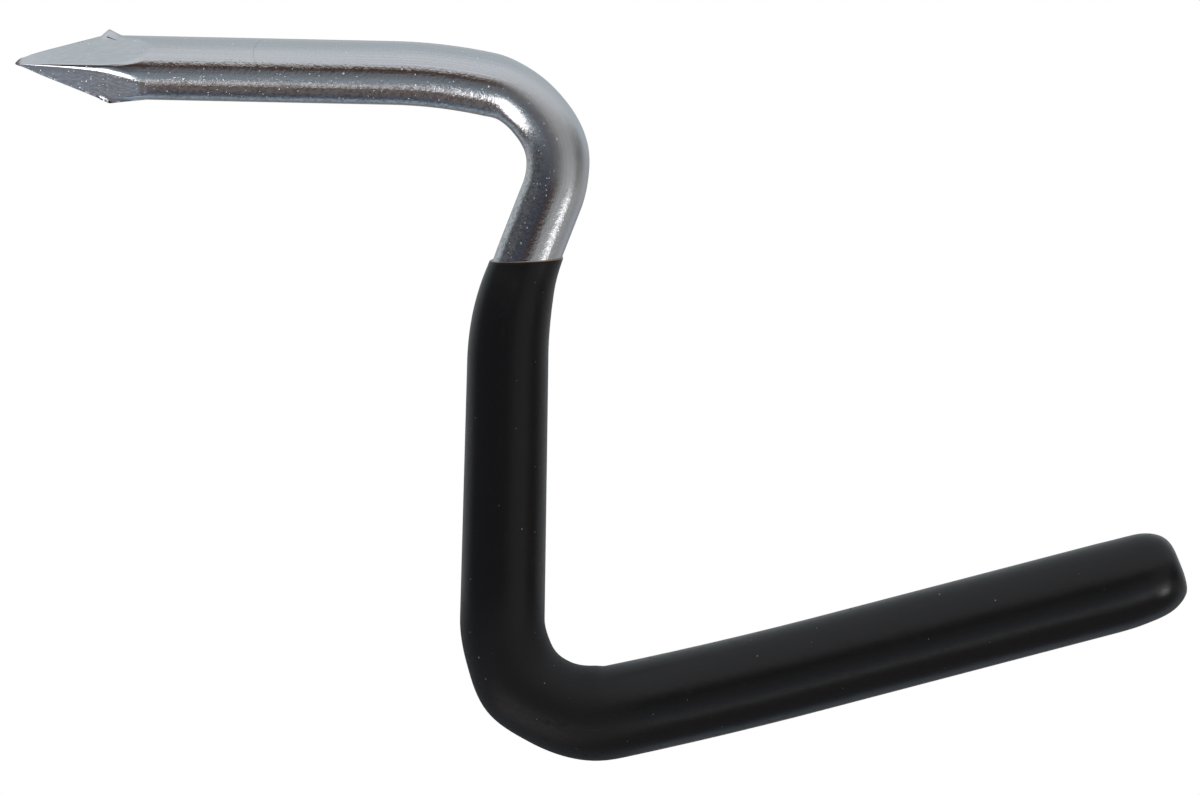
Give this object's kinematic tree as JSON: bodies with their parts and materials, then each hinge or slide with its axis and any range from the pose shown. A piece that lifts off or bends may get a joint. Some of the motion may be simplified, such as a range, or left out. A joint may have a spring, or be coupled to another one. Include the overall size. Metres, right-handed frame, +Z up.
{
  "type": "drive hook",
  "caption": "Drive hook of plated wire: a pinched point and straight shank to hammer in, a leg set off below it and a long rising arm, with a dipped black vinyl coat.",
  "frame": {"origin": "on the shank's axis, where the straight shank ends and its first bend starts", "axes": "-X along the shank towards its point, +Z up, so that the leg hangs down and the arm rises towards +X; the hook lies in the XZ plane"},
  "size_m": [0.1179, 0.0094, 0.0719],
  "materials": {
    "zinc_plated_steel": "bright zinc plate over drawn wire",
    "black_vinyl": "dipped vinyl, satin gloss"
  },
  "bodies": {
    "root": {"steel_hook": "zinc_plated_steel", "vinyl_coat": "black_vinyl"}
  },
  "joints": []
}
